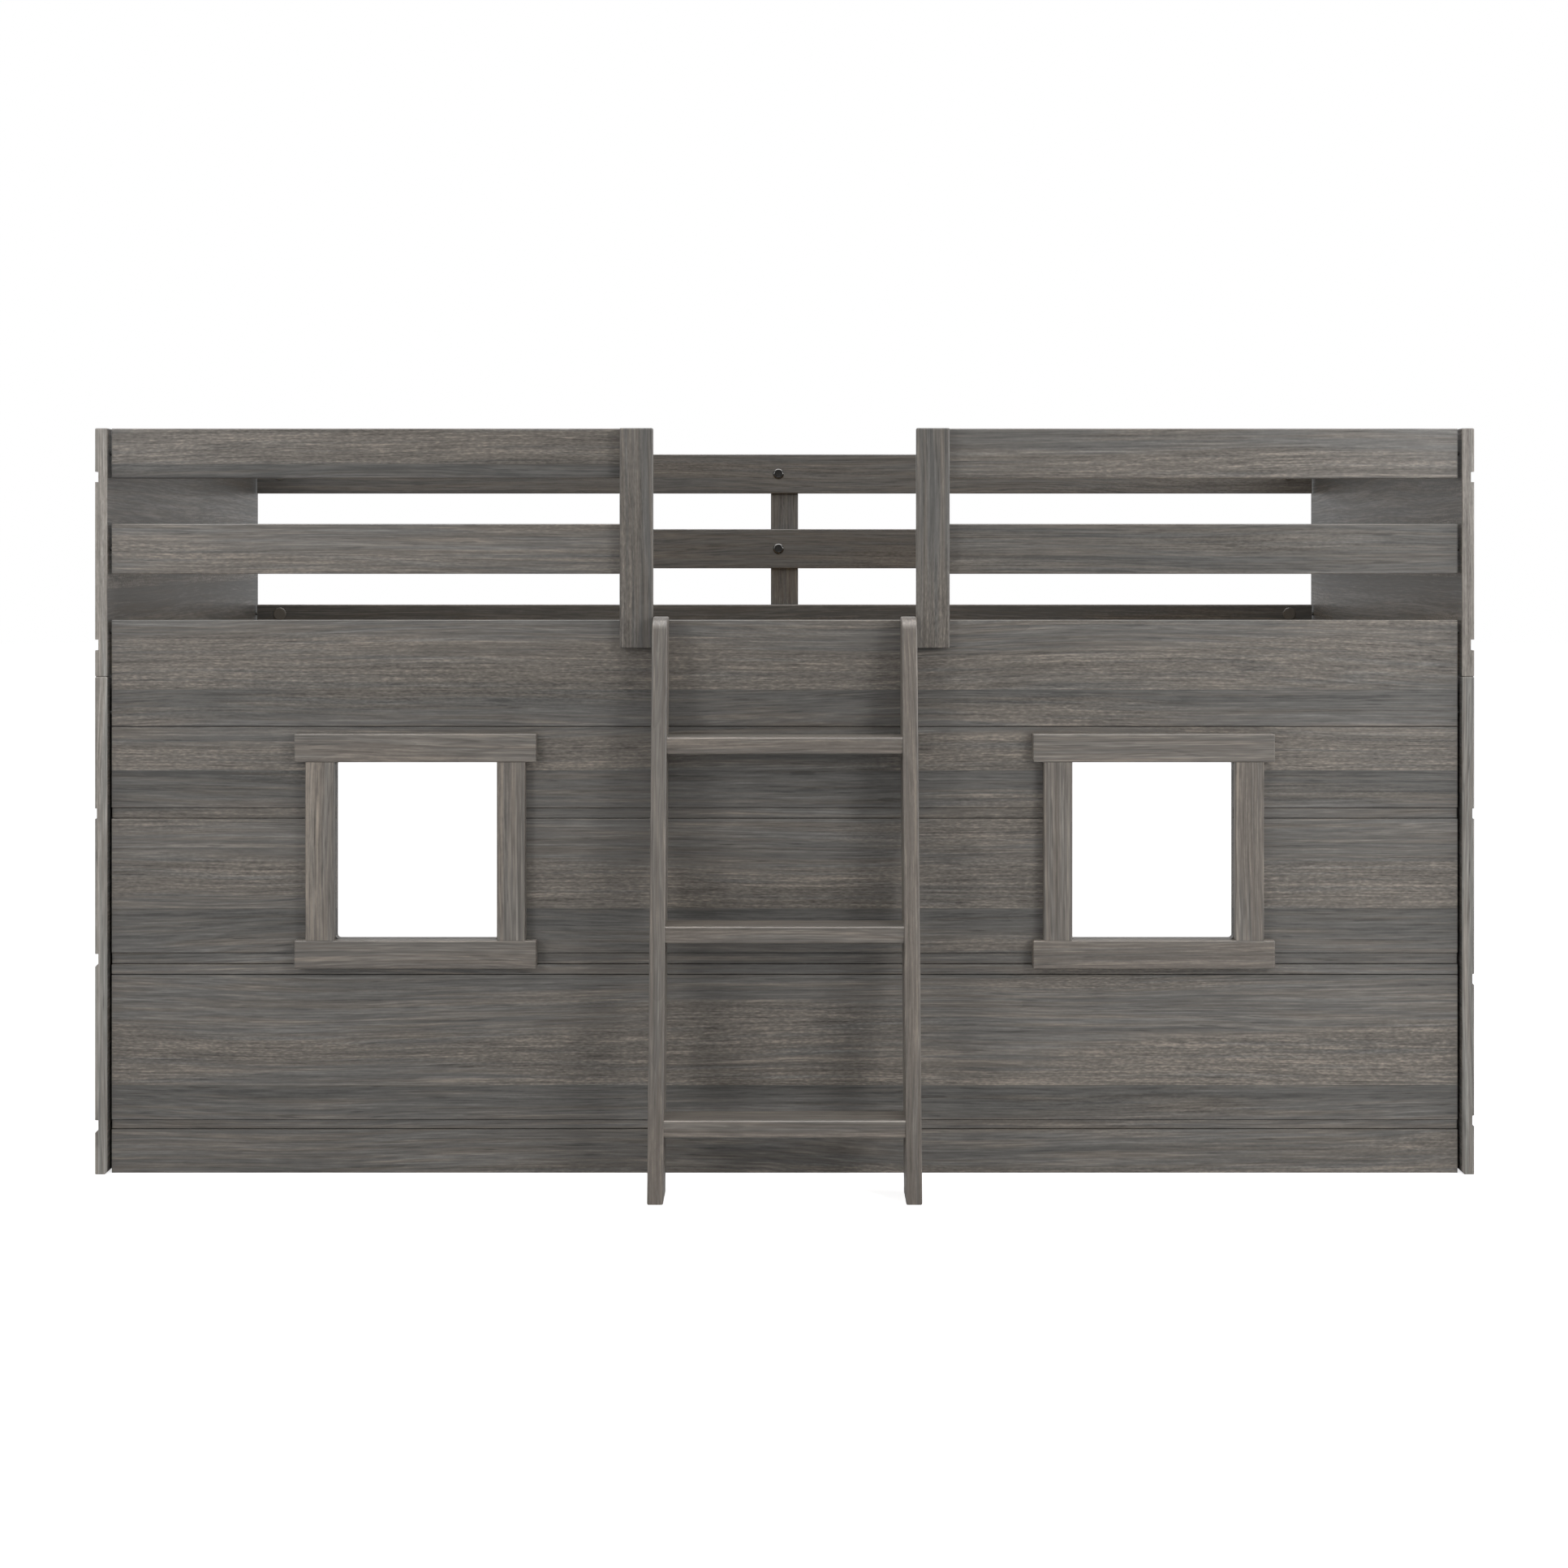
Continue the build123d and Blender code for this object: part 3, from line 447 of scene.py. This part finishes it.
# ---------------------------------------------------------------- metal and plastic
def metal_material(name, tones, metallic, rough, size, depth):
    """A finish that varies a little over blotches of a size in millimetres, with a fine relief."""
    material, tree = new_material(name)
    place = add(tree, "ShaderNodeTexCoord").outputs["Object"]
    coarse = {"Vector": place, "Scale": 1000 / size, "Detail": 3.0}
    blotch = add(tree, "ShaderNodeTexNoise", coarse).outputs[0]
    sockets = {"Factor": blotch, 6: linear(tones[0]), 7: linear(tones[1])}
    colour = add(tree, "ShaderNodeMix", sockets, data_type="RGBA").outputs[2]
    span = {"Value": blotch, "From Min": 0.3, "From Max": 0.7, "To Min": rough[0], "To Max": rough[1]}
    roughness = add(tree, "ShaderNodeMapRange", span).outputs[0]
    grit = add(tree, "ShaderNodeTexNoise", {"Vector": place, "Scale": 4000 / size, "Detail": 2.0}).outputs[0]
    bump = add(tree, "ShaderNodeBump", {"Height": grit, "Strength": 0.4, "Distance": depth * MM}).outputs[0]
    sockets = {"Base Color": colour, "Roughness": roughness, "Normal": bump, "Metallic": metallic}
    shader = add(tree, "ShaderNodeBsdfPrincipled", sockets)
    add(tree, "ShaderNodeOutputMaterial", {"Surface": shader.outputs[0]})
    return material


# black nickel on steel: dark but mirror-like, so each bolt's head shows as a ring round its dark socket
black_steel = metal_material("black_nickel_steel", BLACK_NICKEL, 1.0, (0.16, 0.26), 6, 0.02)
# powder coat: black with the soft ripple of a baked powder, which breaks the highlights up
hook_steel = metal_material("powder_coated_steel", POWDER_BLACK, 0.0, (0.42, 0.55), 3, 0.08)
# zinc plate: pale grey with faint cloudy patches
zinc_steel = metal_material("zinc_plated_steel", ZINC_GREY, 1.0, (0.28, 0.45), 5, 0.02)
# moulded polyethylene caps: dark grey-brown, nearly the colour of the rail, with a waxy low sheen
cap_plastic = metal_material("moulded_polyethylene", CAP_BROWN, 0.0, (0.38, 0.5), 2, 0.03)
METALS = {
    "black_steel": black_steel,
    "hook_steel": hook_steel,
    "zinc_steel": zinc_steel,
    "cap_plastic": cap_plastic,
}
for node, slot in SLOTS.items():
    if slot in METALS:
        dress(node, METALS[slot])


# ---------------------------------------------------------------- fasteners
def lathe(profile, steps=32):
    """A solid turned about Z from (radius, height) points, in millimetres, that run from head to tip."""
    mesh = bmesh.new()
    rings = []
    for radius, height in profile:
        count = steps if radius else 1
        angles = [math.tau * i / count for i in range(count)]
        ring = [(radius * math.cos(a) * MM, radius * math.sin(a) * MM, height * MM) for a in angles]
        rings.append([mesh.verts.new(point) for point in ring])
    for lower, upper in zip(rings, rings[1:]):
        for i in range(steps):
            j = (i + 1) % steps
            below = [lower[k % len(lower)] for k in (i, j)]
            above = [upper[k % len(upper)] for k in (j, i)]
            mesh.faces.new(dict.fromkeys(below + above))
    return mesh


def cutter(outline, mouth, bottom, shrink):
    """A tapered pit, in millimetres: its outline at the mouth, drawn in by a factor at the bottom."""
    mesh = bmesh.new()
    upper = [mesh.verts.new((x * MM, y * MM, mouth * MM)) for x, y in outline]
    lower = [mesh.verts.new((x * shrink * MM, y * shrink * MM, bottom * MM)) for x, y in outline]
    mesh.faces.new(upper)
    mesh.faces.new(lower[::-1])
    for i in range(len(outline)):
        j = (i + 1) % len(outline)
        mesh.faces.new((upper[j], upper[i], lower[i], lower[j]))
    return mesh


def stand_in(name, mesh):
    """A working object for a bmesh, which is freed. Its faces are turned outwards."""
    bmesh.ops.recalc_face_normals(mesh, faces=mesh.faces)
    data = bpy.data.meshes.new(name)
    mesh.to_mesh(data)
    mesh.free()
    thing = bpy.data.objects.new(name, data)
    bpy.context.scene.collection.objects.link(thing)
    return thing


def drawn_fastener(name, profile, pits, length):
    """A fastener drawn along +Z from its head, with its drive pits cut, its tip end marked."""
    body = stand_in(name, lathe(profile))
    tools = [stand_in("pit", pit) for pit in pits]
    for tool in tools:
        cut = body.modifiers.new("pit", "BOOLEAN")
        cut.operation, cut.solver, cut.object = "DIFFERENCE", "EXACT", tool
    mesh = bpy.data.meshes.new_from_object(body.evaluated_get(bpy.context.evaluated_depsgraph_get()))
    for thing in [body, *tools]:
        bpy.data.objects.remove(thing)
    mesh.shade_smooth()
    mesh.set_sharp_from_angle(angle=math.radians(35))
    tip = mesh.attributes.new("tip", "FLOAT", "POINT")
    for vertex, mark in zip(mesh.vertices, tip.data):
        mark.value = float(vertex.co.z > length * MM / 2)
    done = bpy.data.objects.new(name, mesh)
    bpy.context.scene.collection.objects.link(done)
    return done


def hexagon(flats):
    radius = flats / math.sqrt(3)
    return [(radius * math.cos(a), radius * math.sin(a)) for a in (math.tau * i / 6 for i in range(6))]


def slot_outline(long, wide):
    return [(-long, -wide), (long, -wide), (long, wide), (-long, wide)]


def screw_drawing():
    """A countersunk screw of 4 mm with a cross recess."""
    head = [(0, 0), (3.8, 0), (4.0, 0.2), (2.9, 1.8), (2.0, 3.0)]
    profile = head + [(2.0, SCREW_DRAWN - 4), (1.2, SCREW_DRAWN - 1.6), (0, SCREW_DRAWN)]
    pits = [cutter(slot_outline(2.3, 0.55), -0.5, 2.2, 0.3), cutter(slot_outline(0.55, 2.3), -0.5, 2.2, 0.3)]
    return drawn_fastener("screw", profile, pits, SCREW_DRAWN)


def connector_drawing():
    """A flat-headed connector bolt of 6 mm with a 4 mm hex socket."""
    head = [(0, 0), (6.9, 0), (7.3, 0.15), (7.5, 0.5), (7.5, 2.3), (7.3, 2.5), (3.0, 2.5)]
    profile = head + [(3.0, CONNECTOR_DRAWN - 1), (2.4, CONNECTOR_DRAWN), (0, CONNECTOR_DRAWN)]
    return drawn_fastener("connector", profile, [cutter(hexagon(4.0), -0.5, 2.0, 0.95)], CONNECTOR_DRAWN)


def dome_drawing():
    """A bolt with a wide domed head, drawn from the top of the dome, with a 10 mm hex socket."""
    quarter = [math.radians(a) for a in (0, 18, 36, 54, 72, 90)]
    dome = [(6.7 + 3.0 * math.sin(a), 2.1 * (1 - math.cos(a))) for a in quarter]
    rim = [(9.7, 2.6), (9.5, 2.8), (3.0, 2.8)]
    profile = [(0, 0), *dome, *rim, (3.0, DOME_DRAWN - 1), (2.4, DOME_DRAWN), (0, DOME_DRAWN)]
    pits = [cutter(hexagon(11.6), -0.5, 0.7, 0.88), cutter(hexagon(10.0), -0.5, 2.0, 0.97)]
    return drawn_fastener("dome", profile, pits, DOME_DRAWN)


def fastener_tree():
    """Geometry Nodes: one drawing on every point, spun at random, stretched to its own length."""
    tree = bpy.data.node_groups.new("fastener set", "GeometryNodeTree")
    declare(tree, "INPUT", Geometry="Geometry", Drawing="Object", Finish="Material", Seed="Int")
    declare(tree, "OUTPUT", Geometry="Geometry")
    given = add(tree, "NodeGroupInput").outputs
    drawing = add(tree, "GeometryNodeObjectInfo", {"Object": given["Drawing"]}, transform_space="ORIGINAL")
    into = add(tree, "GeometryNodeInputNamedAttribute", {"Name": "into"}, data_type="FLOAT_VECTOR").outputs[0]
    extra = add(tree, "GeometryNodeInputNamedAttribute", {"Name": "extra"}, data_type="FLOAT").outputs[0]
    tip = add(tree, "GeometryNodeInputNamedAttribute", {"Name": "tip"}, data_type="FLOAT").outputs[0]
    aimed = add(tree, "FunctionNodeAlignRotationToVector", {"Vector": into}, axis="Z").outputs[0]
    chance = add(tree, "FunctionNodeRandomValue", {"Seed": given["Seed"]}, data_type="FLOAT")
    turn = add(tree, "ShaderNodeMath", {0: chance.outputs[1], 1: math.tau}, operation="MULTIPLY").outputs[0]
    angles = add(tree, "ShaderNodeCombineXYZ", {2: turn}).outputs[0]
    spin = add(tree, "FunctionNodeEulerToRotation", {0: angles}).outputs[0]
    sockets = {"Rotation": aimed, "Rotate By": spin}
    turned = add(tree, "FunctionNodeRotateRotation", sockets, rotation_space="LOCAL").outputs[0]
    sockets = {"Points": given["Geometry"], "Instance": drawing.outputs["Geometry"], "Rotation": turned}
    placed = add(tree, "GeometryNodeInstanceOnPoints", sockets).outputs[0]
    real = add(tree, "GeometryNodeRealizeInstances", {"Geometry": placed}).outputs[0]
    amount = add(tree, "ShaderNodeMath", {0: extra, 1: tip}, operation="MULTIPLY").outputs[0]
    offset = add(tree, "ShaderNodeVectorMath", {0: into, "Scale": amount}, operation="SCALE").outputs[0]
    moved = add(tree, "GeometryNodeSetPosition", {"Geometry": real, "Offset": offset}).outputs[0]
    finished = add(tree, "GeometryNodeSetMaterial", {"Geometry": moved, "Material": given["Finish"]})
    add(tree, "NodeGroupOutput", {"Geometry": finished.outputs[0]})
    return tree


def islands(node):
    """The separate solids of a node, each a list of its points."""
    mesh = bmesh.new()
    mesh.from_mesh(NODES[node].data)
    bmesh.ops.remove_doubles(mesh, verts=mesh.verts, dist=1e-6)
    seen, found = set(), []
    for start in mesh.verts:
        if start in seen:
            continue
        seen.add(start)
        queue = [start]
        for vertex in queue:
            for edge in vertex.link_edges:
                other = edge.other_vert(vertex)
                if other not in seen:
                    seen.add(other)
                    queue.append(other)
        found.append([vertex.co.copy() for vertex in queue])
    mesh.free()
    return found


def fastener_place(points):
    """Where a fastener's head is, the way that it goes in, and its length, from its points."""
    low = [min(p[i] for p in points) for i in range(3)]
    high = [max(p[i] for p in points) for i in range(3)]
    axis = max(range(3), key=lambda i: high[i] - low[i])
    aside = (axis + 1) % 3
    reach = {}
    for end in (low[axis], high[axis]):
        near = [p[aside] for p in points if abs(p[axis] - end) < NEAR_END]
        reach[end] = max(near) - min(near)
    head_end = max(reach, key=reach.get)
    head = [(a + b) / 2 for a, b in zip(low, high)]
    head[axis] = head_end
    into = [0.0, 0.0, 0.0]
    into[axis] = 1.0 if head_end == low[axis] else -1.0
    return head, into, high[axis] - low[axis]


def fastener_set(name, node, body, drawing, drawn, finish, seed):
    """A piece that stands for a node's fasteners, each in its own place and of its own length."""
    places = [fastener_place(points) for points in islands(node)]
    mesh = bpy.data.meshes.new(name)
    mesh.from_pydata([head for head, _, _ in places], [], [])
    mesh.attributes.new("into", "FLOAT_VECTOR", "POINT")
    mesh.attributes.new("extra", "FLOAT", "POINT")
    for i, (_, direction, length) in enumerate(places):
        mesh.attributes["into"].data[i].vector = direction
        mesh.attributes["extra"].data[i].value = length - drawn * MM
    source = bpy.data.objects.new(name, mesh)
    bpy.context.scene.collection.objects.link(source)
    modifier = source.modifiers.new("set", "NODES")
    modifier.node_group = SET_TREE
    keys = {item.name: item.identifier for item in SET_TREE.interface.items_tree if item.in_out == "INPUT"}
    modifier[keys["Drawing"]] = drawing
    modifier[keys["Finish"]] = finish
    modifier[keys["Seed"]] = seed
    result = bpy.data.meshes.new_from_object(source.evaluated_get(bpy.context.evaluated_depsgraph_get()))
    bpy.data.objects.remove(source)
    result.name = name
    piece = bpy.data.objects.new(name, result)
    bpy.context.scene.collection.objects.link(piece)
    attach(piece, body)
    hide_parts(node)


SET_TREE = fastener_tree()
screw = screw_drawing()
connector = connector_drawing()
dome = dome_drawing()
fastener_set("bed_wood_screws", "wood_screws", "bed", screw, SCREW_DRAWN, zinc_steel, 3)
fastener_set("ladder_wood_screws", "ladder_screws", "ladder", screw, SCREW_DRAWN, zinc_steel, 5)
fastener_set("end_connector_bolts", "connector_bolts", "bed", connector, CONNECTOR_DRAWN, black_steel, 7)
fastener_set("rail_post_bolts", "post_bolts", "bed", dome, DOME_DRAWN, black_steel, 11)
for drawing in (screw, connector, dome):
    bpy.data.objects.remove(drawing)


# ---------------------------------------------------------------- floor, light and camera
def studio_floor():
    """A pale floor that glows where the camera sees it, so that it runs into the white wall."""
    mesh = bpy.data.meshes.new("studio_floor")
    corners = [(x * FLOOR_HALF, y * FLOOR_HALF, 0) for x, y in ((-1, -1), (1, -1), (1, 1), (-1, 1))]
    mesh.from_pydata(corners, [], [(0, 1, 2, 3)])
    floor = bpy.data.objects.new("studio_floor", mesh)
    bpy.context.scene.collection.objects.link(floor)
    material, tree = new_material("painted_studio_floor")
    matt = add(tree, "ShaderNodeBsdfDiffuse", {"Color": linear(FLOOR_WHITE)})
    seen = add(tree, "ShaderNodeLightPath").outputs["Is Camera Ray"]
    lift = add(tree, "ShaderNodeMath", {0: seen, 1: FLOOR_GLOW}, operation="MULTIPLY")
    glow = add(tree, "ShaderNodeEmission", {"Color": (1, 1, 1, 1), "Strength": lift.outputs[0]})
    both = add(tree, "ShaderNodeAddShader", {0: matt.outputs[0], 1: glow.outputs[0]})
    add(tree, "ShaderNodeOutputMaterial", {"Surface": both.outputs[0]})
    mesh.materials.append(material)


def studio_world():
    """White all round to the camera; as light, a bright wall behind and a dimmer room in front.

    In reflections the front of the ceiling is brightest, for a line of light on rounded top edges.
    """
    world = bpy.data.worlds.new("studio")
    world.use_nodes = True
    tree = world.node_tree
    tree.nodes.clear()
    path = add(tree, "ShaderNodeLightPath").outputs
    way = add(tree, "ShaderNodeTexCoord").outputs["Generated"]
    parts = add(tree, "ShaderNodeSeparateXYZ", {0: way}).outputs
    span = {"Value": parts["Y"], "From Min": ROOM_TURN[0], "From Max": ROOM_TURN[1]}
    lit, wall = (
        add(tree, "ShaderNodeMapRange", {**span, "To Min": front, "To Max": behind}).outputs[0]
        for front, behind in (ROOM_LIGHT, ROOM_SHINE)
    )
    start, full = CEILING_RISE
    high = {"Value": parts["Z"], "From Min": start, "From Max": full, "To Max": CEILING_SHINE}
    overhead = add(tree, "ShaderNodeMapRange", high).outputs[0]
    full, end = CEILING_BACK
    near = {"Value": parts["Y"], "From Min": full, "From Max": end, "To Min": 1.0, "To Max": 0.0}
    forward = add(tree, "ShaderNodeMapRange", near).outputs[0]
    sockets = {0: overhead, 1: forward, 2: wall}
    shiny = add(tree, "ShaderNodeMath", sockets, operation="MULTIPLY_ADD").outputs[0]
    mixed = {"Factor": path["Is Glossy Ray"], 2: lit, 3: shiny}
    cast = add(tree, "ShaderNodeMix", mixed, data_type="FLOAT").outputs[0]
    shown = {"Factor": path["Is Camera Ray"], 2: cast, 3: 1.0}
    power = add(tree, "ShaderNodeMix", shown, data_type="FLOAT").outputs[0]
    sky = add(tree, "ShaderNodeBackground", {"Color": (1, 1, 1, 1), "Strength": power})
    add(tree, "ShaderNodeOutputWorld", {"Surface": sky.outputs[0]})
    bpy.context.scene.world = world


def from_front(place, front_y):
    """A place counted from the front edges of the ends, in the frame of the whole scene."""
    x, y, z = place
    return (x, front_y + y, z)


def studio_lights(front_y):
    """Soft boxes in front, off the ends, higher up and overhead; the right is brighter."""
    for name, (place, aim, power, size) in SOFT_BOXES.items():
        data = bpy.data.lights.new(name, "AREA")
        data.energy = power
        data.size = size
        lamp = bpy.data.objects.new(name, data)
        lamp.location = from_front(place, front_y)
        way = Vector(from_front(aim, front_y)) - Vector(from_front(place, front_y))
        lamp.rotation_euler = way.to_track_quat("-Z", "Y").to_euler()
        bpy.context.scene.collection.objects.link(lamp)


def camera(front_y):
    """Level and square to the front, with the lens shifted down to take in the ladder's feet."""
    data = bpy.data.cameras.new("camera")
    data.sensor_width = 36.0
    data.lens = LENS
    data.shift_y = LENS_SHIFT
    data.clip_end = 100
    eye = bpy.data.objects.new("camera", data)
    eye.location = from_front(EYE, front_y)
    eye.rotation_euler = (math.radians(90), 0, 0)
    bpy.context.scene.collection.objects.link(eye)
    bpy.context.scene.camera = eye


bpy.context.scene.view_settings.view_transform = "Standard"
ends_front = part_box("left_end_lower_panel")[0].y
studio_floor()
studio_world()
studio_lights(ends_front)
camera(ends_front)
